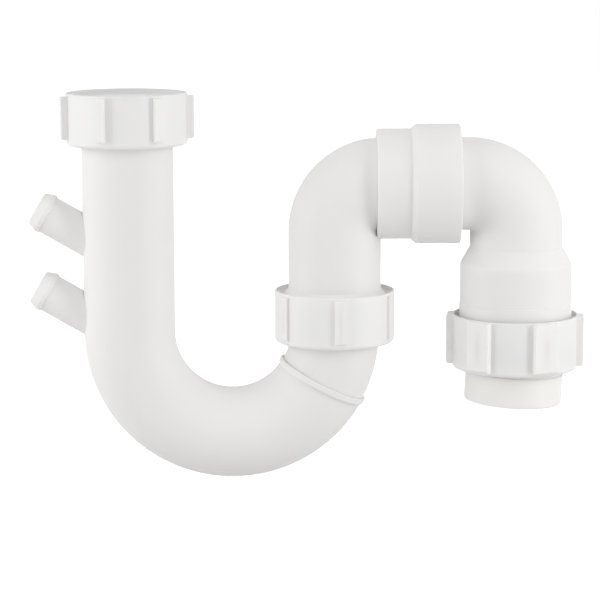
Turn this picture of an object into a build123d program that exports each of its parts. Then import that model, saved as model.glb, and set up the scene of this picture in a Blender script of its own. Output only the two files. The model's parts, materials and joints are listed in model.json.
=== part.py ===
"""A white combination waste trap: a J with two hose nozzles, a riser joint and a swivelling outlet.

Lengths are in millimetres and angles in degrees. The origin is the middle of the inlet washer's top
face, where the sink's waste outlet seats. Z points up and X runs from the inlet towards the outlet.
All the tube axes lie in the plane Y = 0.
"""

from build123d import *
import math
import os

os.makedirs("parts", exist_ok=True)

# The waste tube of the bends, and the slightly slimmer tube of the J
TUBE_R = 20.5
TRAP_SLIM = 0.3
TRAP_R = TUBE_R - TRAP_SLIM
WALL = 2.3
BORE_R = TUBE_R - WALL

# Gaps between pieces
TURN_GAP = 0.3       # between a piece that turns and the piece round it
SEAL_GAP = 0.1       # between a rubber ring and the tube that turns or slides in it
TONGUE_GAP = 0.1     # between the elbow's tongue and its counterbore
HOLE_GAP = 0.4       # between a nut's lower hole and the tube through it

# Where the axes run
U_RADIUS = 45.65     # centre line of the U
U_Z = -92.6          # height of the U's centre
RISER_X = 2 * U_RADIUS
SWIVEL_Z = -26.6     # height of the level tube between riser and outlet
OUTLET_SPAN = 80.5   # riser axis to outlet axis
OUTLET_X = RISER_X + OUTLET_SPAN
CROTCH_ROUND = 0.5   # radius left on the inside of a tight bend
TIGHT_RADIUS = TUBE_R + CROTCH_ROUND
TIGHT_Z = SWIVEL_Z - TIGHT_RADIUS

# Flange, washer and thread of the two union joints
FLANGE_PROUD = 1.7
FLANGE_R = TUBE_R + FLANGE_PROUD
FLANGE_THICK = 3.0
WASHER_THICK = 2.5
WASHER_HOLE_GAP = 0.2
WASHER_HOLE_R = BORE_R + WASHER_HOLE_GAP
WASHER_EDGE = 0.4
THREAD_PROUD = 3.4
THREAD_R = TUBE_R + THREAD_PROUD
NUT_BORE_R = THREAD_R + TURN_GAP

# Inlet nut
INLET_NUT_TOP = 14.0
INLET_NUT_WALL = 2.6
INLET_NUT_FLOOR = 3.5
INLET_RIB_PROUD = 3.1
INLET_RIB_WIDE = 3.0
INLET_RIB_COUNT = 7
INLET_RIB_TURN = -57.6
INLET_RIB_TOP = 1.0
INLET_RIB_FOOT = 3.0
LEAD_IN_DEEP = 2.6
LEAD_IN_WALL = 0.8
LEAD_IN_SLOPE = 1.8
UNDERCUT = 0.5       # a nut's bore is this much wider below its thread

# Hose nozzles
NOZZLE_TILT = 30.0
NOZZLE_COUNT = 2
NOZZLE_Z = -60.4
NOZZLE_PITCH = 35.1
NOZZLE_REACH = 46.8
NOZZLE_R = 8.5
NOZZLE_BORE_R = 6.5
BARB_R = 9.1
BARB_TIP_R = 7.5
BARB_LONG = 6.0
BARB_LAND = 1.6
BARB_STEP = 0.4

# Lip and tongue where the riser elbow joins the J
LIP_ANGLE = 27.2
LIP_PROUD = 0.9
LIP_WIDE = 3.6
LIP_TAPER = 1.2
LIP_EDGE = 0.35
LIP_SINK = 0.4       # the lip's taper starts this far inside the wall
TONGUE_PROUD = 1.1
TONGUE_R = BORE_R + TONGUE_PROUD
TONGUE_LONG = 4.0
ELBOW_SLIM = 0.4
ELBOW_R = TRAP_R - ELBOW_SLIM

# Riser nut
RISER_FLANGE_TOP = -91.0
RISER_NUT_HIGH = 23.2
RISER_NUT_FLOOR = 2.9
RISER_NUT_WALL = 2.4
RISER_RIB_PROUD = 1.1
RISER_RIB_WIDE = 5.0
RISER_RIB_COUNT = 6
RISER_RIB_TURN = -85.2
RISER_RIB_TOP = 1.2
RISER_RIB_FOOT = 2.4
RISER_SWEEP = 0.4    # the elbow has begun to curve where it leaves the nut

# Male end of the upper bend
RISER_THREAD_LONG = 11.5
THREAD_CONE = 4.0

# Ring-seal socket of the upper bend
COLLAR_BACK = 2.5    # the collar starts this far before the bend ends
COLLAR_PROUD = 3.85
COLLAR_R = TUBE_R + COLLAR_PROUD
COLLAR_LONG = 36.7
COLLAR_SMALL_LONG = 15.0
COLLAR_CHAMFER = 2.3
COLLAR_STEP = 2.1
COLLAR_BIG_R = COLLAR_R + COLLAR_STEP
SOCKET_STOP = 2.0    # from the end of the bend to the socket's stop
SOCKET_LAND = 5.2
SEAL_WIDE = 11.5
SEAL_THICK = 3.0
SEAL_LIP = 2.5
SEAL_RELIEF = 0.9
SPIGOT_END_GAP = 1.0

# Outlet bend
FLARE_TOP = -54.4
FLARE_LONG = 7.7
FLARE_ROUND = 3.0
OUTLET_SOCKET_PROUD = 4.2
OUTLET_SOCKET_R = TUBE_R + OUTLET_SOCKET_PROUD
OUTLET_WALL = 1.9
OUTLET_THREAD_PROUD = 0.7
OUTLET_THREAD_R = OUTLET_SOCKET_R + OUTLET_THREAD_PROUD    # the root of the male thread
OUTLET_THREAD_DEEP = 1.1
OUTLET_BAND_TOP = -79.4
OUTLET_BAND_PROUD = 0.2
OUTLET_THREAD_TOP = -88.5
OUTLET_THREAD_CONE = 1.0
OUTLET_END = -98.2
OUTLET_SOCKET_BORE_R = OUTLET_SOCKET_R - OUTLET_WALL
SEAT_CHAMFER = 1.6

# Outlet nut with its ring seal and slip washer
OUTLET_NUT_TOP = -84.8
OUTLET_LEAD_DEEP = 2.4
OUTLET_LEAD_SLOPE = 0.7
OUTLET_NUT_BORE_R = OUTLET_THREAD_R + OUTLET_THREAD_DEEP
OUTLET_NUT_WALL = 1.5
OUTLET_NUT_FLOOR = 4.0
OUTLET_PAD_PROUD = 2.9
OUTLET_PAD_WIDE = 10.8
OUTLET_PAD_COUNT = 6
OUTLET_PAD_TURN = -68.0
OUTLET_PAD_TOP = 0.3
OUTLET_PAD_FOOT = 1.8
OUTLET_SEAL_HIGH = 5.3
OUTLET_SEAL_TAPER = 1.5
SLIP_THICK = 1.5
SLIP_EDGE = 0.5

# Tail pipe, which leans in its seal
TAIL_PLAY = 1.1      # between the tail and the bore it leans in
TAIL_R = OUTLET_SOCKET_BORE_R - TAIL_PLAY
TAIL_WALL = 2.3
TAIL_SLIM = 0.4      # the end inside the seal is this much slimmer
TAIL_STEP = -110.8
TAIL_TOP = -85.0
TAIL_LOW = -124.0
TAIL_LEAN = 3.0
TAIL_PIVOT = -107.0
TAIL_ROUND = 0.5
SLIP_HOLE_GAP = 1.2
SLIP_HOLE_R = TAIL_R + SLIP_HOLE_GAP
OUTLET_HOLE_GAP = 1.4
OUTLET_NUT_HOLE_R = TAIL_R + OUTLET_HOLE_GAP

# Small mould rounds
NUT_FOOT_ROUND = 2.0
NUT_RIM_ROUND = 0.4
RIB_TOP_ROUND = 0.5
RIB_FOOT_ROUND = 1.2
RIB_ROOT = 0.8       # a rib is sunk this far into the nut's wall
SMALL_ROUND = 0.5


def turned(points, rounds=None):
    """A solid turned about Z from (radius, height) corners; rounds maps a corner's place to its radius."""
    face = make_face(Polyline(*points, close=True))
    for place, radius in (rounds or {}).items():
        corner = face.vertices().sort_by_distance((*points[place], 0))[0]
        face = fillet(corner, radius)
    return revolve(Plane.XZ * face, Axis.Z)


def rod(radius, low, high):
    """A plain cylinder on the Z axis between two heights."""
    return Pos(0, 0, low) * extrude(Circle(radius), high - low)


def frame_at(centre_x, centre_z, radius, angle):
    """The plane across a bend's tube at an angle round the bend, facing the way the angle grows."""
    turn = math.radians(angle)
    spot = (centre_x + radius * math.cos(turn), 0, centre_z + radius * math.sin(turn))
    return Plane(origin=spot, x_dir=(0, 1, 0), z_dir=(-math.sin(turn), 0, math.cos(turn)))


def bent(centre_x, centre_z, radius, tube_r, angle, span):
    """A solid tube bent round an axis along Y, from an angle over a span, anticlockwise in the XZ view."""
    section = frame_at(centre_x, centre_z, radius, angle) * Circle(tube_r)
    return revolve(section, Axis((centre_x, 0, centre_z), (0, -1, 0)), span)


def ribbed(body_r, proud, wide, low, high, count, turn):
    """Upright grip ribs round a nut: flat-faced, rounded at both ends and sunk a little into its wall."""
    outer = math.sqrt((body_r + proud) ** 2 - (wide / 2) ** 2)
    inner = body_r - RIB_ROOT
    corners = [(inner, low), (outer, low), (outer, high), (inner, high)]
    face = make_face(Polyline(*corners, close=True))
    face = fillet(face.vertices().sort_by_distance((outer, low, 0))[0], RIB_FOOT_ROUND)
    face = fillet(face.vertices().sort_by_distance((outer, high, 0))[0], RIB_TOP_ROUND)
    rib = extrude(Plane.XZ * face, wide / 2, both=True)
    return [Rot(0, 0, turn + 360 * step / count) * rib for step in range(count)]


def nut(top, bottom, bore_r, wall, floor, hole_r, lead, seat):
    """A union nut's turned body: a bore for the thread, an undercut from the seat down, a holed floor."""
    outer = bore_r + wall
    mouth_r = outer - lead["wall"]
    relief_r = bore_r + UNDERCUT
    points = [
        (hole_r, bottom),
        (outer, bottom),
        (outer, top),
        (mouth_r, top),
        (mouth_r, top - lead["deep"]),
        (bore_r, top - lead["deep"] - lead["slope"]),
        (bore_r, seat),
        (relief_r, seat),
        (relief_r, bottom + floor),
        (hole_r, bottom + floor),
    ]
    return turned(points, {1: NUT_FOOT_ROUND, 2: NUT_RIM_ROUND})


def washer(hole_r, outer_r, low, high):
    """A flat ring."""
    return rod(outer_r, low, high) - rod(hole_r, low, high)


# Inlet joint: washer on the J's flange, and the captive nut round it
flange_top = -WASHER_THICK
flange_low = flange_top - FLANGE_THICK
inlet_nut_low = flange_low - INLET_NUT_FLOOR
inlet_washer = washer(WASHER_HOLE_R, FLANGE_R - WASHER_EDGE, flange_top, 0)
inlet_lead = {"deep": LEAD_IN_DEEP, "wall": LEAD_IN_WALL, "slope": LEAD_IN_SLOPE}
inlet_nut = nut(
    INLET_NUT_TOP,
    inlet_nut_low,
    NUT_BORE_R,
    INLET_NUT_WALL,
    INLET_NUT_FLOOR,
    TRAP_R + HOLE_GAP,
    inlet_lead,
    0,
)
inlet_nut += ribbed(
    NUT_BORE_R + INLET_NUT_WALL,
    INLET_RIB_PROUD,
    INLET_RIB_WIDE,
    inlet_nut_low + INLET_RIB_FOOT,
    INLET_NUT_TOP - INLET_RIB_TOP,
    INLET_RIB_COUNT,
    INLET_RIB_TURN,
)

# J-shaped trap body with its two nozzles, one moulding
j_span = 180 - LIP_ANGLE
joint_angle = 360 - LIP_ANGLE
joint = frame_at(U_RADIUS, U_Z, U_RADIUS, joint_angle)
trap_body = rod(TRAP_R, U_Z, flange_top)
trap_body += bent(U_RADIUS, U_Z, U_RADIUS, TRAP_R, 180, j_span)
trap_body += rod(FLANGE_R, flange_low, flange_top)
lip = turned(
    [
        (TONGUE_R, -LIP_WIDE - LIP_SINK),
        (TRAP_R - LIP_SINK, -LIP_WIDE - LIP_SINK),
        (TRAP_R + LIP_PROUD, LIP_TAPER - LIP_WIDE),
        (TRAP_R + LIP_PROUD, 0),
        (TONGUE_R, 0),
    ],
    {2: LIP_EDGE, 3: LIP_EDGE},
)
trap_body += joint * lip
stem_end = NOZZLE_REACH - BARB_LONG
nozzle = turned(
    [
        (0, 0),
        (NOZZLE_R, 0),
        (NOZZLE_R, stem_end),
        (BARB_R, stem_end + BARB_STEP),
        (BARB_R, stem_end + BARB_STEP + BARB_LAND),
        (BARB_TIP_R, NOZZLE_REACH),
        (0, NOZZLE_REACH),
    ],
    {5: SMALL_ROUND},
)
nozzle_bore = rod(NOZZLE_BORE_R, 0, NOZZLE_REACH)
nozzle_turn = Rot(0, NOZZLE_TILT - 90, 0)
nozzle_spots = [Pos(0, 0, NOZZLE_Z - NOZZLE_PITCH * step) * nozzle_turn for step in range(NOZZLE_COUNT)]
for spot in nozzle_spots:
    trap_body += spot * nozzle
trap_body -= rod(BORE_R, U_Z, flange_top)
trap_body -= bent(U_RADIUS, U_Z, U_RADIUS, BORE_R, 180, j_span)
for spot in nozzle_spots:
    trap_body -= spot * nozzle_bore
trap_body -= joint * rod(TONGUE_R + TONGUE_GAP, -TONGUE_LONG - TONGUE_GAP, 0)

# Riser elbow, set into the J's lip by a tongue and flanged at the top
riser_flange_low = RISER_FLANGE_TOP - FLANGE_THICK
riser_elbow = bent(U_RADIUS, U_Z, U_RADIUS, ELBOW_R, joint_angle, LIP_ANGLE)
riser_elbow += Pos(RISER_X, 0, 0) * rod(ELBOW_R, U_Z, RISER_FLANGE_TOP)
riser_elbow += Pos(RISER_X, 0, 0) * rod(FLANGE_R, riser_flange_low, RISER_FLANGE_TOP)
riser_elbow += joint * rod(TONGUE_R, -TONGUE_LONG, LIP_EDGE)
riser_elbow -= bent(U_RADIUS, U_Z, U_RADIUS, BORE_R, 270, 90)
riser_elbow -= Pos(RISER_X, 0, 0) * rod(BORE_R, U_Z, RISER_FLANGE_TOP)

# Riser joint: washer, nut and the male end of the upper bend
riser_washer_top = RISER_FLANGE_TOP + WASHER_THICK
riser_washer = Pos(RISER_X, 0, 0) * washer(
    WASHER_HOLE_R, FLANGE_R - WASHER_EDGE, RISER_FLANGE_TOP, riser_washer_top
)
riser_nut_low = riser_flange_low - RISER_NUT_FLOOR
riser_nut_top = riser_nut_low + RISER_NUT_HIGH
riser_lead = {"deep": LEAD_IN_SLOPE, "wall": LEAD_IN_WALL, "slope": LEAD_IN_SLOPE}
riser_nut = nut(
    riser_nut_top,
    riser_nut_low,
    NUT_BORE_R,
    RISER_NUT_WALL,
    RISER_NUT_FLOOR,
    ELBOW_R + HOLE_GAP + RISER_SWEEP,
    riser_lead,
    riser_washer_top,
)
riser_nut += ribbed(
    NUT_BORE_R + RISER_NUT_WALL,
    RISER_RIB_PROUD,
    RISER_RIB_WIDE,
    riser_nut_low + RISER_RIB_FOOT,
    riser_nut_top - RISER_RIB_TOP,
    RISER_RIB_COUNT,
    RISER_RIB_TURN,
)
riser_nut = Pos(RISER_X, 0, 0) * riser_nut

# Upper bend: male end, tight bend and the two-step socket for the swivel
thread_top = riser_washer_top + RISER_THREAD_LONG
bend_end = RISER_X + TIGHT_RADIUS
collar_start = bend_end - COLLAR_BACK
collar_end = collar_start + COLLAR_LONG
big_start = COLLAR_SMALL_LONG + COLLAR_CHAMFER
level = Plane(origin=(0, 0, SWIVEL_Z), x_dir=(0, 1, 0), z_dir=(1, 0, 0))
socket_r = TUBE_R + TURN_GAP
groove_r = TUBE_R + SEAL_GAP + SEAL_THICK
groove_end = collar_end - SOCKET_LAND
groove_start = groove_end - SEAL_WIDE
socket_stop = bend_end + SOCKET_STOP
male_end = turned(
    [
        (0, riser_washer_top),
        (THREAD_R, riser_washer_top),
        (THREAD_R, thread_top),
        (TUBE_R, thread_top + THREAD_CONE),
        (TUBE_R, TIGHT_Z),
        (0, TIGHT_Z),
    ],
    {1: SMALL_ROUND},
)
collar = turned(
    [
        (0, 0),
        (COLLAR_R, 0),
        (COLLAR_R, COLLAR_SMALL_LONG),
        (COLLAR_BIG_R, big_start),
        (COLLAR_BIG_R, COLLAR_LONG),
        (0, COLLAR_LONG),
    ],
    {1: SMALL_ROUND, 3: SMALL_ROUND, 4: SMALL_ROUND},
)
upper_bend = Pos(RISER_X, 0, 0) * male_end
upper_bend += bent(bend_end, TIGHT_Z, TIGHT_RADIUS, TUBE_R, 90, 90)
upper_bend += level * Pos(0, 0, collar_start) * collar
upper_bend -= Pos(RISER_X, 0, 0) * rod(BORE_R, riser_washer_top, TIGHT_Z)
upper_bend -= bent(bend_end, TIGHT_Z, TIGHT_RADIUS, BORE_R, 90, 90)
upper_bend -= level * rod(BORE_R, bend_end, socket_stop)
upper_bend -= level * rod(socket_r, socket_stop, collar_end)
upper_bend -= level * rod(groove_r, groove_start, groove_end)

# Ring seal in the socket's groove, with a lip at each side
swivel_seal = level * turned(
    [
        (TUBE_R + SEAL_GAP, groove_start),
        (groove_r, groove_start),
        (groove_r, groove_end),
        (TUBE_R + SEAL_GAP, groove_end),
        (TUBE_R + SEAL_GAP, groove_end - SEAL_LIP),
        (TUBE_R + SEAL_GAP + SEAL_RELIEF, groove_end - SEAL_LIP - SEAL_RELIEF),
        (TUBE_R + SEAL_GAP + SEAL_RELIEF, groove_start + SEAL_LIP + SEAL_RELIEF),
        (TUBE_R + SEAL_GAP, groove_start + SEAL_LIP),
    ]
)

# Outlet bend: spigot, tight bend, flare and compression socket
outlet_start = OUTLET_X - TIGHT_RADIUS
spigot_end = socket_stop + SPIGOT_END_GAP
flare_low = FLARE_TOP - FLARE_LONG
band_r = OUTLET_SOCKET_R + OUTLET_BAND_PROUD
outlet_leg = turned(
    [
        (0, TIGHT_Z),
        (TUBE_R, TIGHT_Z),
        (TUBE_R, FLARE_TOP),
        (OUTLET_SOCKET_R, flare_low),
        (OUTLET_SOCKET_R, OUTLET_BAND_TOP),
        (band_r, OUTLET_BAND_TOP - OUTLET_BAND_PROUD),
        (band_r, OUTLET_THREAD_TOP + OUTLET_THREAD_CONE),
        (OUTLET_THREAD_R, OUTLET_THREAD_TOP),
        (OUTLET_THREAD_R, OUTLET_END),
        (0, OUTLET_END),
    ],
    {3: FLARE_ROUND, 8: SMALL_ROUND},
)
outlet_hollow = turned(
    [
        (0, TIGHT_Z),
        (BORE_R, TIGHT_Z),
        (BORE_R, FLARE_TOP - WALL),
        (OUTLET_SOCKET_BORE_R, flare_low - WALL),
        (OUTLET_SOCKET_BORE_R, OUTLET_END + SEAT_CHAMFER),
        (OUTLET_SOCKET_BORE_R + SEAT_CHAMFER, OUTLET_END),
        (0, OUTLET_END),
    ]
)
outlet_bend = level * rod(TUBE_R, spigot_end, outlet_start)
outlet_bend += bent(outlet_start, TIGHT_Z, TIGHT_RADIUS, TUBE_R, 0, 90)
outlet_bend += Pos(OUTLET_X, 0, 0) * outlet_leg
outlet_bend -= level * rod(BORE_R, spigot_end, outlet_start)
outlet_bend -= bent(outlet_start, TIGHT_Z, TIGHT_RADIUS, BORE_R, 0, 90)
outlet_bend -= Pos(OUTLET_X, 0, 0) * outlet_hollow

# Tail pipe, leaning in its seal
lean = Pos(OUTLET_X, 0, TAIL_PIVOT) * Rot(0, TAIL_LEAN, 0) * Pos(0, 0, -TAIL_PIVOT)
outlet_tail = lean * turned(
    [
        (TAIL_R - TAIL_WALL, TAIL_LOW),
        (TAIL_R, TAIL_LOW),
        (TAIL_R, TAIL_STEP),
        (TAIL_R - TAIL_SLIM, TAIL_STEP),
        (TAIL_R - TAIL_SLIM, TAIL_TOP),
        (TAIL_R - TAIL_WALL, TAIL_TOP),
    ],
    {0: TAIL_ROUND, 1: TAIL_ROUND},
)

# Outlet seal, squeezed between the socket's end and the slip washer
seal_low = OUTLET_END - OUTLET_SEAL_HIGH
slip_low = seal_low - SLIP_THICK
ring_r = OUTLET_NUT_BORE_R - SLIP_EDGE
outlet_seal = Pos(OUTLET_X, 0, 0) * turned(
    [
        (0, seal_low),
        (ring_r, seal_low),
        (ring_r, OUTLET_END),
        (OUTLET_SOCKET_BORE_R + SEAT_CHAMFER - SEAL_GAP, OUTLET_END),
        (OUTLET_SOCKET_BORE_R + SEAL_GAP, OUTLET_END + OUTLET_SEAL_TAPER - 2 * SEAL_GAP),
        (0, OUTLET_END + OUTLET_SEAL_TAPER - 2 * SEAL_GAP),
    ]
)
outlet_seal -= lean * rod(TAIL_R - TAIL_SLIM + SEAL_GAP, TAIL_LOW, TAIL_TOP)
slip_washer = Pos(OUTLET_X, 0, 0) * washer(SLIP_HOLE_R, ring_r, slip_low, seal_low)

# Outlet nut with its wide grip pads
outlet_nut_low = slip_low - OUTLET_NUT_FLOOR
outlet_lead = {"deep": OUTLET_LEAD_DEEP, "wall": LEAD_IN_WALL, "slope": OUTLET_LEAD_SLOPE}
outlet_nut = nut(
    OUTLET_NUT_TOP,
    outlet_nut_low,
    OUTLET_NUT_BORE_R,
    OUTLET_NUT_WALL,
    OUTLET_NUT_FLOOR,
    OUTLET_NUT_HOLE_R,
    outlet_lead,
    OUTLET_END,
)
outlet_nut += ribbed(
    OUTLET_NUT_BORE_R + OUTLET_NUT_WALL,
    OUTLET_PAD_PROUD,
    OUTLET_PAD_WIDE,
    outlet_nut_low + OUTLET_PAD_FOOT,
    OUTLET_NUT_TOP - OUTLET_PAD_TOP,
    OUTLET_PAD_COUNT,
    OUTLET_PAD_TURN,
)
outlet_nut = Pos(OUTLET_X, 0, 0) * outlet_nut

export_step(inlet_nut, "parts/inlet_nut.step")
export_step(inlet_washer, "parts/inlet_washer.step")
export_step(trap_body, "parts/trap_body.step")
export_step(riser_elbow, "parts/riser_elbow.step")
export_step(riser_nut, "parts/riser_nut.step")
export_step(riser_washer, "parts/riser_washer.step")
export_step(upper_bend, "parts/upper_bend.step")
export_step(swivel_seal, "parts/swivel_seal.step")
export_step(outlet_bend, "parts/outlet_bend.step")
export_step(outlet_seal, "parts/outlet_seal.step")
export_step(slip_washer, "parts/slip_washer.step")
export_step(outlet_nut, "parts/outlet_nut.step")
export_step(outlet_tail, "parts/outlet_tail.step")
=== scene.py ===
# %% [markdown]
# # A white combination waste trap
# This lesson dresses a plumbing trap for a photograph: a J-shaped tube, two slanted hose nozzles, three
# nuts and a swivelling outlet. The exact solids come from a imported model, in metres, with the inlet seat
# at the origin. Blender adds the screw threads, the look of moulded plastic, the light and the camera.

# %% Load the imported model
import json
import math

import bpy
from mathutils import Matrix, Vector


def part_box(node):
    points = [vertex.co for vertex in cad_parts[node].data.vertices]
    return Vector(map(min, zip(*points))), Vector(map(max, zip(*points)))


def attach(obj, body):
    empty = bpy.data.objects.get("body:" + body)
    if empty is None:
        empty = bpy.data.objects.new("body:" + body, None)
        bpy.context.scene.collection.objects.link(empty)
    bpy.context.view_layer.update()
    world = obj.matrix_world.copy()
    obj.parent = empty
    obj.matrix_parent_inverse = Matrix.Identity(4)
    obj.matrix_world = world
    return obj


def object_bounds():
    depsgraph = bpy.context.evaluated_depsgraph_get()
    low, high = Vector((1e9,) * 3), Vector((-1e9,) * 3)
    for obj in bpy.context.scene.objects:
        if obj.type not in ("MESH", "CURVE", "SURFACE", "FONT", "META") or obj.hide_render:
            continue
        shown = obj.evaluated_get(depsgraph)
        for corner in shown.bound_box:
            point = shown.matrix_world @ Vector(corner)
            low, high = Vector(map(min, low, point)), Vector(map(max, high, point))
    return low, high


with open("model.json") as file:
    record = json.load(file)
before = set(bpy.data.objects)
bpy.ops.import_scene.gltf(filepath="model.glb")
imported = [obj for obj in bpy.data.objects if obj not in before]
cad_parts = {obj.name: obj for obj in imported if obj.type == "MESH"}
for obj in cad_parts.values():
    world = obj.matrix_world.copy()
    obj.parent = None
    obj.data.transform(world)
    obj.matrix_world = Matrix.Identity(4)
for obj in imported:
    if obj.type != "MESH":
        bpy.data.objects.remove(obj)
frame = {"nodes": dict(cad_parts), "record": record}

MM = 0.001
cad_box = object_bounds()
middle = (cad_box[0] + cad_box[1]) / 2
bpy.context.scene.view_settings.view_transform = "Standard"
cad_size = [round(side / MM, 1) for side in cad_box[1] - cad_box[0]]
print("solids:", len(frame["nodes"]), "size in mm:", cad_size)

# %% [markdown]
# ## The camera
# The picture was taken with a long lens from about a metre away, a little above the trap. A long lens
# keeps the tubes nearly parallel. The numbers below came from laying the solids' outline over the
# picture: how far away, how high, which point sits in the middle, and a very small tilt of the camera.

# %% Camera
IMAGE_WIDE = 600            # pixels across the picture
FOCAL_PIXELS = 2264         # focal length in those pixels
SENSOR_MM = 36.0
CAMERA_AWAY = 1.008         # metres from the camera to the point it aims at
CAMERA_RISE = math.radians(9.3)
CAMERA_ROLL = math.radians(-0.175)
AIM = Vector((75.9, 0.0, -78.55)) * MM

forward = Vector((0.0, math.cos(CAMERA_RISE), -math.sin(CAMERA_RISE)))
level_right = Vector((1.0, 0.0, 0.0))
level_up = level_right.cross(forward)
right = level_right * math.cos(CAMERA_ROLL) + level_up * math.sin(CAMERA_ROLL)
up = level_up * math.cos(CAMERA_ROLL) - level_right * math.sin(CAMERA_ROLL)

bpy.ops.object.select_all(action="DESELECT")
bpy.ops.object.camera_add()
camera = bpy.context.object
camera.name = "photo_camera"
facing = Matrix((right, up, -forward)).transposed().to_4x4()
camera.matrix_world = Matrix.Translation(AIM - forward * CAMERA_AWAY) @ facing
camera.data.sensor_width = SENSOR_MM
camera.data.lens = FOCAL_PIXELS * SENSOR_MM / IMAGE_WIDE
bpy.context.scene.camera = camera
print("lens in mm:", round(camera.data.lens, 2), "camera at", [round(c, 3) for c in camera.location])

# %% [markdown]
# ## Nodes and colours
# Every finish below is a small tree of shader nodes. One helper adds a node, sets its own settings, and
# then fills its inputs: a plain value is typed into the socket, and a socket of another node is linked.
# Colours are written as they look on a screen, so a second helper turns such a hex colour to linear light.

# %% Helpers for materials
def linear(hex_colour):
    """A screen colour such as "#f0efed" as linear red, green, blue and a full alpha."""
    channels = [int(hex_colour[place:place + 2], 16) / 255 for place in (1, 3, 5)]
    return [c / 12.92 if c <= 0.04045 else ((c + 0.055) / 1.055) ** 2.4 for c in channels] + [1.0]


def add(tree, kind, inputs=None, **settings):
    """Adds one node, sets its settings, and fills its inputs with values or with links from sockets."""
    node = tree.nodes.new(kind)
    for name, value in settings.items():
        setattr(node, name, value)
    for name, value in (inputs or {}).items():
        if isinstance(value, bpy.types.NodeSocket):
            tree.links.new(value, node.inputs[name])
        else:
            node.inputs[name].default_value = value
    return node


def per_metre(size_mm):
    """The texture scale that makes a pattern's features about this many millimetres across."""
    return 1 / (size_mm * MM)


WHITE = linear("#ffffff")
print("white in linear light:", WHITE)

# %% [markdown]
# ## Even light
# A white product picture is lit mostly by even light, as in a tent of white cloth. The world gives that
# light. The backdrop is white because the camera, and whatever mirrors it, sees white there. Stronger lamps
# would make it white too, but they would also wash out the trap.

# %% World
AMBIENT = 0.565             # light that comes evenly from everywhere


def seen_directly(tree):
    """1 for rays from the camera, a reflection or through glass, and 0 for the rest."""
    path = add(tree, "ShaderNodeLightPath")
    seen = path.outputs["Is Camera Ray"]
    for kind in ("Is Glossy Ray", "Is Transmission Ray"):
        seen = add(tree, "ShaderNodeMath", {0: seen, 1: path.outputs[kind]}, operation="MAXIMUM").outputs[0]
    return seen


world = bpy.data.worlds.new("white_studio")
bpy.context.scene.world = world
world.use_nodes = True
sky = world.node_tree
sky.nodes.clear()
seen = seen_directly(sky)
level = add(sky, "ShaderNodeMapRange", {"Value": seen, "To Min": AMBIENT, "To Max": 1.0})
shell = add(sky, "ShaderNodeBackground", {"Color": WHITE, "Strength": level.outputs[0]})
add(sky, "ShaderNodeOutputWorld", {"Surface": shell.outputs[0]})
print("even light:", AMBIENT)

# %% [markdown]
# ## Soft boxes
# Even light alone would leave the tubes flat. A tall soft box and a narrower strip stand at each side, with a
# weak fill in front and another overhead. The tubes then show a pale stripe near each edge and a slightly
# greyer middle, which is what makes them look round. Each lamp is placed by two angles round the trap.

# %% Lamps
# turn and rise are in degrees from the front, away, wide and tall in metres
SOFT_BOXES = {
    "left_soft_box": {"turn": -80, "rise": 12, "away": 1.0, "wide": 0.5, "tall": 1.0, "watts": 2.3},
    "left_strip": {"turn": -62, "rise": 8, "away": 1.0, "wide": 0.2, "tall": 1.0, "watts": 1.8},
    "right_soft_box": {"turn": 78, "rise": 12, "away": 1.0, "wide": 0.5, "tall": 1.0, "watts": 0.8},
    "right_strip": {"turn": 60, "rise": 8, "away": 1.0, "wide": 0.2, "tall": 1.0, "watts": 3.3},
    "front_fill": {"turn": 0, "rise": 30, "away": 1.2, "wide": 0.8, "tall": 0.8, "watts": 1.1},
    "overhead_fill": {"turn": 0, "rise": 85, "away": 1.1, "wide": 0.9, "tall": 0.7, "watts": 0.9},
}
for name, box in SOFT_BOXES.items():
    turn, rise = math.radians(box["turn"]), math.radians(box["rise"])
    toward = Vector((math.sin(turn) * math.cos(rise), -math.cos(turn) * math.cos(rise), math.sin(rise)))
    bpy.ops.object.select_all(action="DESELECT")
    bpy.ops.object.light_add(type="AREA", location=middle + toward * box["away"])
    lamp = bpy.context.object
    lamp.name = name
    lamp.rotation_euler = toward.to_track_quat("Z", "Y").to_euler()
    lamp.data.shape = "RECTANGLE"
    lamp.data.size, lamp.data.size_y = box["wide"], box["tall"]
    lamp.data.energy = box["watts"]
    print(name, "at", [round(c, 2) for c in lamp.location])

# %% [markdown]
# ## The floor
# The floor is a wide sheet of pale paper, some way below, because the trap hangs under a sink. A sheet that
# glowed evenly would swallow the shadow. So it glows only for rays that see it directly, weakly under the
# trap and more further out, where it has to meet the white backdrop without an edge.

# %% Floor
FLOOR_BELOW = 0.26
FLOOR_WIDE = 14.0
NEAR_REACH, FAR_REACH = 0.3, 0.7   # metres from the place under the trap
NEAR_GLOW, FAR_GLOW = 0.36, 0.9    # the glow at those two distances
PAPER = "#dadad8"
bpy.ops.object.select_all(action="DESELECT")
bpy.ops.mesh.primitive_plane_add(size=FLOOR_WIDE, location=(middle.x, middle.y, cad_box[0].z - FLOOR_BELOW))
floor = bpy.context.object
floor.name = "studio_floor"
paper = bpy.data.materials.new("white_studio_paper")
paper.use_nodes = True
tree = paper.node_tree
tree.nodes.clear()
seen = seen_directly(tree)
where = add(tree, "ShaderNodeTexCoord").outputs["Object"]
reach = add(tree, "ShaderNodeVectorMath", {0: where}, operation="LENGTH")
fading = {"From Min": NEAR_REACH, "From Max": FAR_REACH, "To Min": NEAR_GLOW, "To Max": FAR_GLOW}
fade = add(tree, "ShaderNodeMapRange", {"Value": reach.outputs["Value"], **fading})
glow = add(tree, "ShaderNodeMath", {0: fade.outputs[0], 1: seen}, operation="MULTIPLY")
dull = add(tree, "ShaderNodeBsdfDiffuse", {"Color": linear(PAPER)})
lit = add(tree, "ShaderNodeEmission", {"Color": WHITE, "Strength": glow.outputs[0]})
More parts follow.
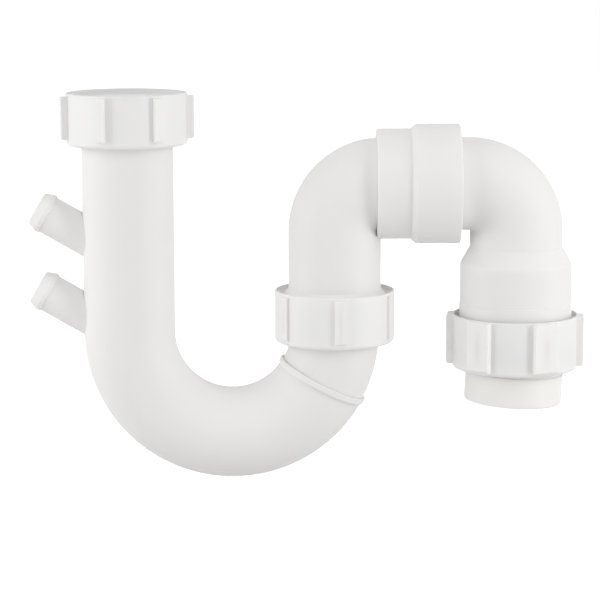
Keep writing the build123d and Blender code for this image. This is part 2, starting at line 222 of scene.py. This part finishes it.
both = add(tree, "ShaderNodeAddShader", {0: dull.outputs[0], 1: lit.outputs[0]})
add(tree, "ShaderNodeOutputMaterial", {"Surface": both.outputs[0]})
floor.data.materials.append(paper)
print("floor at z =", round(floor.location.z, 3))

# %% [markdown]
# ## Marks of the mould
# The tubes and nuts are injection-moulded. A thin line shows on a tube where the mould's halves met, and a
# thick rib sinks a little as it cools. Both are less than a tenth of a millimetre high, so they could be cut
# into the mesh, but a bump does the same for the eye. A sink's hollow also gets painted shade in its colour.
# Each helper gives the mark as a number from 0 to 1.

# %% Parting line and sink marks
PARTING_WIDE = 0.35 * MM    # drawn wider than the real line so that it can show
SINK_REACH = 0.9            # how much of a nut's half height a sink mark takes


def fading_from(tree, distance, reach, **settings):
    """1 where a distance is 0, falling to 0 where it gets as far as the given reach."""
    fading = {"Value": distance, "From Max": reach, "To Min": 1.0, "To Max": 0.0}
    return add(tree, "ShaderNodeMapRange", fading, **settings).outputs[0]


def parting_line(tree, where):
    """1 along the plane Y = 0, where the mould's two halves met, fading to 0 beside it."""
    axes = add(tree, "ShaderNodeSeparateXYZ", {"Vector": where})
    off = add(tree, "ShaderNodeMath", {0: axes.outputs["Y"]}, operation="ABSOLUTE")
    return fading_from(tree, off.outputs[0], PARTING_WIDE)


def rib_sinks(tree, where, node, count, turn, wide_mm):
    """Up to 1 in the middle of each rib of a nut, where the thick plastic shrank, fading to 0 all round."""
    low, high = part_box(node)
    axis = (low + high) / 2
    radius = (high.y - low.y) / 2
    step = math.tau / count
    axes = add(tree, "ShaderNodeSeparateXYZ", {"Vector": where})
    above = add(tree, "ShaderNodeMath", {0: axes.outputs["Z"], 1: axis.z}, operation="SUBTRACT")
    above = add(tree, "ShaderNodeMath", {0: above.outputs[0]}, operation="ABSOLUTE")
    tall = SINK_REACH * (high.z - axis.z)
    level = fading_from(tree, above.outputs[0], tall, interpolation_type="SMOOTHSTEP")
    across = add(tree, "ShaderNodeMath", {0: axes.outputs["X"], 1: axis.x}, operation="SUBTRACT")
    angle = add(tree, "ShaderNodeMath", {0: axes.outputs["Y"], 1: across.outputs[0]}, operation="ARCTAN2")
    angle = add(tree, "ShaderNodeMath", {0: angle.outputs[0], 1: math.radians(turn)}, operation="SUBTRACT")
    off = add(tree, "ShaderNodeMath", {0: angle.outputs[0], 1: step / 2, 2: -step / 2}, operation="WRAP")
    off = add(tree, "ShaderNodeMath", {0: off.outputs[0]}, operation="ABSOLUTE")
    line = fading_from(tree, off.outputs[0], wide_mm * MM / radius, interpolation_type="SMOOTHSTEP")
    return add(tree, "ShaderNodeMath", {0: line, 1: level}, operation="MULTIPLY").outputs[0]


def riser_sinks(tree, where):
    """The faint line down each of the riser nut's six ribs."""
    return rib_sinks(tree, where, "riser_nut", count=6, turn=-85.2, wide_mm=0.8)


def outlet_sinks(tree, where):
    """The faint hollow down each of the outlet nut's six pads."""
    return rib_sinks(tree, where, "outlet_nut", count=6, turn=-68, wide_mm=2.4)


print("parting line in mm:", round(PARTING_WIDE / MM, 2), "sink marks reach:", SINK_REACH)

# %% [markdown]
# ## Painted shade in the corners
# The colour is darkened in the inner corners, as painted shade. It could be painted by hand, but a node
# can find the corners: Ambient Occlusion tells how much open sky a place sees.

# %% Painted corner shade
CORNER_REACH = 1.0 * MM     # painted shade reaches about this far out of an inner corner
# painted shade: the colour that the inner corners darken to
CORNER_SHADE_PAINT = "#cfcdc9"
SHADED_SKY, UNSHADED_SKY = 0.25, 0.65  # shares of open sky at which the painted shade is full, and gone
SKY_SAMPLES = 8


def painted_corner_shade(tree, colour):
    """The given colour, darkened by painted shade in the inner corners."""
    # painted shade: where Ambient Occlusion sees little open sky, the colour turns darker
    sky = add(tree, "ShaderNodeAmbientOcclusion", {"Distance": CORNER_REACH}, samples=SKY_SAMPLES)
    shading_range = {"Value": sky.outputs["AO"], "From Min": SHADED_SKY, "From Max": UNSHADED_SKY}
    unshaded = add(tree, "ShaderNodeMapRange", shading_range)
    corners = {"Factor": unshaded.outputs[0], "A": linear(CORNER_SHADE_PAINT), "B": colour}
    return add(tree, "ShaderNodeMix", corners, data_type="RGBA").outputs["Result"]


# prints how far the painted corner shade reaches
print("painted corner shade reach, in mm:", round(CORNER_REACH / MM, 2))

# %% [markdown]
# ## Moulded polypropylene
# Straight from the mould this plastic has a satin skin with a very fine spark-eroded grain. It lets a little
# light in, and its white drifts slightly over a hand's breadth, where the melt cooled at different rates. All
# the white pieces share this tree of nodes, so one function builds it and takes what differs.

# %% Satin plastic
PLASTIC_IOR = 1.49
DRIFT_MM = 45               # how far apart the two whites lie
CLOUD_MM = 9                # size of the duller patches in the satin
CLOUD_DEPTH = 0.05          # how much rougher or smoother those patches are
PARTING_HIGH = 0.08 * MM
SINK_DEEP = 0.03 * MM
# painted shade: the colour of a sink mark's hollow
SINK_PAINTED_SHADE = "#e9e8e6"
GLOW_SHARE = 0.3            # share of the light that goes into the plastic and comes out again
GLOW_DEPTH = 3.0 * MM
GLOW_BY_COLOUR = (1.0, 0.97, 0.93)  # red light goes a little deeper than blue


def moulded_plastic(name, pale, deep, roughness, grain_mm, grain_high_mm, mark=None, hollow=False):
    """Satin plastic: two drifting whites, a fine grain, painted corner shade, and a mould mark if given."""
    material = bpy.data.materials.new(name)
    material.use_nodes = True
    tree = material.node_tree
    tree.nodes.clear()
    where = add(tree, "ShaderNodeTexCoord").outputs["Object"]
    drift = add(tree, "ShaderNodeTexNoise", {"Vector": where, "Scale": per_metre(DRIFT_MM), "Detail": 2.0})
    whites = {"Factor": drift.outputs["Fac"], "A": linear(deep), "B": linear(pale)}
    colour = add(tree, "ShaderNodeMix", whites, data_type="RGBA").outputs["Result"]
    cloud = add(tree, "ShaderNodeTexNoise", {"Vector": where, "Scale": per_metre(CLOUD_MM), "Detail": 3.0})
    smoothest, roughest = roughness - CLOUD_DEPTH, roughness + CLOUD_DEPTH
    spread = {"Value": cloud.outputs["Fac"], "To Min": smoothest, "To Max": roughest}
    satin = add(tree, "ShaderNodeMapRange", spread)
    grain = add(tree, "ShaderNodeTexNoise", {"Vector": where, "Scale": per_metre(grain_mm), "Detail": 2.0})
    skin = add(tree, "ShaderNodeBump", {"Height": grain.outputs["Fac"], "Distance": grain_high_mm * MM})
    if mark:
        height = mark(tree, where)
        size = SINK_DEEP if hollow else PARTING_HIGH
        step = {"Height": height, "Distance": size, "Normal": skin.outputs[0]}
        skin = add(tree, "ShaderNodeBump", step, invert=hollow)
    # painted shade: a sink mark's hollow is also darkened in the colour
    if mark and hollow:
        shade = {"Factor": height, "A": colour, "B": linear(SINK_PAINTED_SHADE)}
        colour = add(tree, "ShaderNodeMix", shade, data_type="RGBA").outputs["Result"]
    plastic = add(tree, "ShaderNodeBsdfPrincipled", {
        # the base colour carries painted shade in the inner corners
        "Base Color": painted_corner_shade(tree, colour),
        "Roughness": satin.outputs[0],
        "IOR": PLASTIC_IOR,
        "Subsurface Weight": GLOW_SHARE,
        "Subsurface Radius": GLOW_BY_COLOUR,
        "Subsurface Scale": GLOW_DEPTH,
        "Normal": skin.outputs[0],
    })
    add(tree, "ShaderNodeOutputMaterial", {"Surface": plastic.outputs[0]})
    return material


print("plastic with an IOR of", PLASTIC_IOR)

# %% [markdown]
# ## The whites
# The tubes are a plain white, the nuts a hair paler, the tail faintly ivory, and the slip washer milky and
# smoother. The real grain is finer than a tenth of a millimetre. It is drawn several times coarser here,
# so that it can show at all.

# %% White plastics
TUBE = {"pale": "#f2f1f0", "deep": "#edeceb", "roughness": 0.55, "grain_mm": 0.7, "grain_high_mm": 0.01}
NUT = {"pale": "#f3f2f2", "deep": "#eeeded", "roughness": 0.5, "grain_mm": 0.6, "grain_high_mm": 0.01}
TAIL = {"pale": "#f5f3f0", "deep": "#f0eeea", "roughness": 0.5, "grain_mm": 0.8, "grain_high_mm": 0.012}
SLIP = {"pale": "#e6e5e1", "deep": "#dfdeda", "roughness": 0.35, "grain_mm": 0.8, "grain_high_mm": 0.006}
tube_white = moulded_plastic("white_polypropylene_moulded", **TUBE, mark=parting_line)
nut_white = moulded_plastic("nut_polypropylene_moulded", **NUT)
riser_nut_white = moulded_plastic("nut_polypropylene_ribbed", **NUT, mark=riser_sinks, hollow=True)
outlet_nut_white = moulded_plastic("nut_polypropylene_padded", **NUT, mark=outlet_sinks, hollow=True)
tail_ivory = moulded_plastic("tail_plastic_ivory", **TAIL)
slip_white = moulded_plastic("slip_plastic_milky", **SLIP)
print("plastics:", tube_white.name, nut_white.name, tail_ivory.name, slip_white.name)

# %% [markdown]
# ## Rubber seals
# The washers and ring seals are dark nitrile rubber, pressed in a smooth mould and dusted with talc so
# that they don't stick. The talc shows as a slightly greyer, duller cloud on a nearly black surface. The
# pores of the skin are drawn coarser than they are, so that they can show.

# %% Seal rubber
RUBBER_IOR = 1.52
RUBBER_BLACK, TALC_GREY = "#2b2b2c", "#47474a"
BARE_ROUGHNESS, TALC_ROUGHNESS = 0.55, 0.8
TALC_MM = 5
PORE_MM = 0.8
PORE_DEEP = 0.02 * MM
rubber = bpy.data.materials.new("seal_rubber_talced")
rubber.use_nodes = True
tree = rubber.node_tree
tree.nodes.clear()
where = add(tree, "ShaderNodeTexCoord").outputs["Object"]
talc = add(tree, "ShaderNodeTexNoise", {"Vector": where, "Scale": per_metre(TALC_MM), "Detail": 4.0})
greys = {"Factor": talc.outputs["Fac"], "A": linear(RUBBER_BLACK), "B": linear(TALC_GREY)}
black = add(tree, "ShaderNodeMix", greys, data_type="RGBA")
dulling = {"Value": talc.outputs["Fac"], "To Min": BARE_ROUGHNESS, "To Max": TALC_ROUGHNESS}
dull = add(tree, "ShaderNodeMapRange", dulling)
pores = add(tree, "ShaderNodeTexNoise", {"Vector": where, "Scale": per_metre(PORE_MM), "Detail": 2.0})
skin = add(tree, "ShaderNodeBump", {"Height": pores.outputs["Fac"], "Strength": 1.0, "Distance": PORE_DEEP})
seal = add(tree, "ShaderNodeBsdfPrincipled", {
    "Base Color": black.outputs["Result"],
    "Roughness": dull.outputs[0],
    "IOR": RUBBER_IOR,
    "Normal": skin.outputs[0],
})
add(tree, "ShaderNodeOutputMaterial", {"Surface": seal.outputs[0]})
print("rubber:", rubber.name)

# %% [markdown]
# ## Dressing the solids
# The imported solids already have the right shape, so each only takes its finish. Every solid names a
# material slot in the imported record, and each slot has one finish. Two of the nuts take a copy of their
# slot's finish that also draws the sink marks on their own ribs, with a bump and painted shade.

# %% Finishes by slot
FINISHES = {
    "white_polypropylene": tube_white,
    "nut_polypropylene": nut_white,
    "tail_plastic": tail_ivory,
    "slip_plastic": slip_white,
    "seal_rubber": rubber,
}
OWN_FINISHES = {"riser_nut": riser_nut_white, "outlet_nut": outlet_nut_white}
for part in frame["record"]["subparts"]:
    solid = frame["nodes"][part["node"]]
    finish = OWN_FINISHES.get(part["node"], FINISHES[part["material_slot"]])
    solid.data.materials.clear()
    solid.data.materials.append(finish)
    print(part["node"], "takes", finish.name)

# %% [markdown]
# ## A thread's section
# A pipe thread is one ridge wound round a cylinder. It could be cut turn by turn, but it is easier to draw
# the ridge's section once and wind that. The section starts as a plane that stands upright, from the foot,
# which is buried in the wall, to the crest. Its crest edge is then squeezed, which makes it a trapezium.

# %% Draw the section
PITCH = 25.4 * MM / 11      # eleven turns to the inch, as on a pipe of this size
RIDGE_FOOT = 0.84 * PITCH   # width of the ridge at its foot
RIDGE_CREST = 0.24          # width of the crest, as a share of the foot
RIDGE_SINK = 0.3 * MM       # the foot is buried this far in the wall
CREST_NEAR = RIDGE_SINK / 2  # a vertex this near to the crest's radius is on the crest


def pick(piece, chosen):
    """Selects the vertices with the given numbers, and leaves the piece in edit mode."""
    bpy.ops.object.mode_set(mode="EDIT")
    bpy.ops.mesh.select_all(action="DESELECT")
    bpy.ops.object.mode_set(mode="OBJECT")
    for vertex in piece.data.vertices:
        vertex.select = vertex.index in chosen
    bpy.ops.object.mode_set(mode="EDIT")


def on_crest(ridge, crest_r):
    """The numbers of the vertices along the crest."""
    return {v.index for v in ridge.data.vertices if abs(v.co.xy.length - crest_r) < CREST_NEAR}


def ridge_section(name, foot_r, crest_r):
    """A new piece that is only the ridge's section, a trapezium beside the axis."""
    section_at = ((foot_r + crest_r) / 2, 0, 0)
    bpy.ops.object.select_all(action="DESELECT")
    bpy.ops.mesh.primitive_plane_add(size=1, rotation=(math.pi / 2, 0, 0), location=section_at)
    ridge = bpy.context.object
    ridge.name = name
    ridge.scale = (abs(crest_r - foot_r), RIDGE_FOOT, 1)
    bpy.ops.object.transform_apply(location=True, rotation=True, scale=True)
    pick(ridge, on_crest(ridge, crest_r))
    bpy.ops.transform.resize(value=(1, 1, RIDGE_CREST), center_override=(crest_r, 0, 0))
    bpy.ops.object.mode_set(mode="OBJECT")
    return ridge


print("pitch in mm:", round(PITCH / MM, 3), "foot in mm:", round(RIDGE_FOOT / MM, 3))

# %% [markdown]
# ## Winding the section
# A Screw modifier turns the section about the upright axis and lifts it by one pitch in each turn. A moulded
# thread fades in and out, so at both ends the crest is then drawn back into the wall step by step. The wound
# ridge is an open tube: its two end faces are filled, and its normals are turned outwards.

# %% Wind it and fade its ends
STEPS_PER_TURN = 72
FADE_STEPS = 12             # steps over which each end sinks into the wall
FADE_START = 0.1            # height left at the very end, as a share of the full one


def wind(ridge, turns):
    """Winds the section upwards, and gives the number of steps that this took."""
    steps = round(STEPS_PER_TURN * turns)
    winding = ridge.modifiers.new("wind", "SCREW")
    winding.angle = math.tau * turns
    winding.screw_offset = PITCH * turns
    winding.steps = steps
    winding.render_steps = steps
    bpy.ops.object.modifier_apply(modifier="wind")
    return steps


def fade_ends(ridge, steps, foot_r, crest_r):
    """Draws the crest back into the wall near both ends, and closes them."""
    ring = len(ridge.data.vertices) // (steps + 1)
    crest = on_crest(ridge, crest_r)
    for step in range(FADE_STEPS):
        height = FADE_START + (1 - FADE_START) * step / FADE_STEPS
        shrink = (foot_r + (crest_r - foot_r) * height) / crest_r
        ends = (step, steps - step)
        pick(ridge, {index for index in crest if index // ring in ends})
        bpy.ops.transform.resize(value=(shrink, shrink, 1), center_override=(0, 0, 0))
    bpy.ops.mesh.select_all(action="SELECT")
    bpy.ops.mesh.fill_holes(sides=4)
    bpy.ops.mesh.normals_make_consistent(inside=False)
    bpy.ops.object.mode_set(mode="OBJECT")


print("each end fades over", 360 * FADE_STEPS // STEPS_PER_TURN, "degrees")

# %% [markdown]
# ## A finished thread
# The wound ridge stands on the world's axis. It is moved to its nut or socket and turned to where the thread
# starts, and both are applied, so that the place is in the mesh. It takes the finish of the moulding that it
# belongs to, and rides on the same body, so that it turns with its nut.

# %% Thread helper
SMOOTH_UNDER = math.radians(35)  # edges that bend less than this are shaded smooth


def wound_thread(name, body, slot, axis_x, wall_r, crest_r, low, turns, start):
    """A ridge wound right-handed round an upright axis, proud of a wall and fading into it at both ends."""
    foot_r = wall_r - math.copysign(RIDGE_SINK, crest_r - wall_r)
    ridge = ridge_section(name, foot_r, crest_r)
    steps = wind(ridge, turns)
    fade_ends(ridge, steps, foot_r, crest_r)
    ridge.location = (axis_x, 0, low)
    ridge.rotation_euler.z = start
    bpy.ops.object.transform_apply(location=True, rotation=True, scale=True)
    bpy.ops.object.shade_smooth_by_angle(angle=SMOOTH_UNDER)
    ridge.data.materials.append(FINISHES[slot])
    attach(ridge, body)
    print(name, "turns:", round(turns, 2), "faces:", len(ridge.data.polygons))


print("smooth under", round(math.degrees(SMOOTH_UNDER)), "degrees")

# %% [markdown]
# ## The inlet nut's thread
# This thread takes the sink's waste outlet, so it lines the nut's bore above the washer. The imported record
# says how wide and how long it is. One turn is left out, half at each end, so that it stays inside the bore.

# %% Inlet thread
INLET_DEEP = 1.3 * MM
inlet = next(mount for mount in frame["record"]["mounts"] if mount["name"] == "inlet_thread")
inlet_r = inlet["dims"]["r_mm"] * MM
inlet_long = inlet["dims"]["length_mm"] * MM
wound_thread(
    name="inlet_nut_thread",
    body="inlet_nut",
    slot="nut_polypropylene",
    axis_x=0,
    wall_r=inlet_r,
    crest_r=inlet_r - INLET_DEEP,
    low=PITCH / 2,
    turns=inlet_long / PITCH - 1,
    start=0,
)

# %% [markdown]
# ## The outlet's two threads
# The outlet socket has a male thread and its nut the matching one. The nut's ridge starts half a turn away
# from the socket's, which is half a pitch, so that each runs in the other's groove. It is also the lower
# ridge of the two, because it has to slip past the rubber seal when the nut is wound off.

# %% Outlet threads
OUTLET_ROOT_R = 25.4 * MM
OUTLET_BORE_R = 26.5 * MM
CREST_GAP = 0.2 * MM        # from the male crest to the nut's bore
SEAL_PLAY = 0.06 * MM       # from the nut's crest to the seal that it passes
MALE_TURNS = 3.25
NUT_TURNS = 3.5
outlet_x = sum(corner.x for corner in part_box("outlet_nut")) / 2
seal_low, seal_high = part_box("outlet_seal")
seal_r = (seal_high.y - seal_low.y) / 2
socket_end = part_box("outlet_bend")[0].z
male_low = socket_end + PITCH / 2
wound_thread(
    name="outlet_male_thread",
    body="outlet",
    slot="white_polypropylene",
    axis_x=outlet_x,
    wall_r=OUTLET_ROOT_R,
    crest_r=OUTLET_BORE_R - CREST_GAP,
    low=male_low,
    turns=MALE_TURNS,
    start=0,
)
wound_thread(
    name="outlet_nut_thread",
    body="outlet_nut",
    slot="nut_polypropylene",
    axis_x=outlet_x,
    wall_r=OUTLET_BORE_R,
    crest_r=seal_r + SEAL_PLAY,
    low=male_low,
    turns=NUT_TURNS,
    start=math.pi,
)
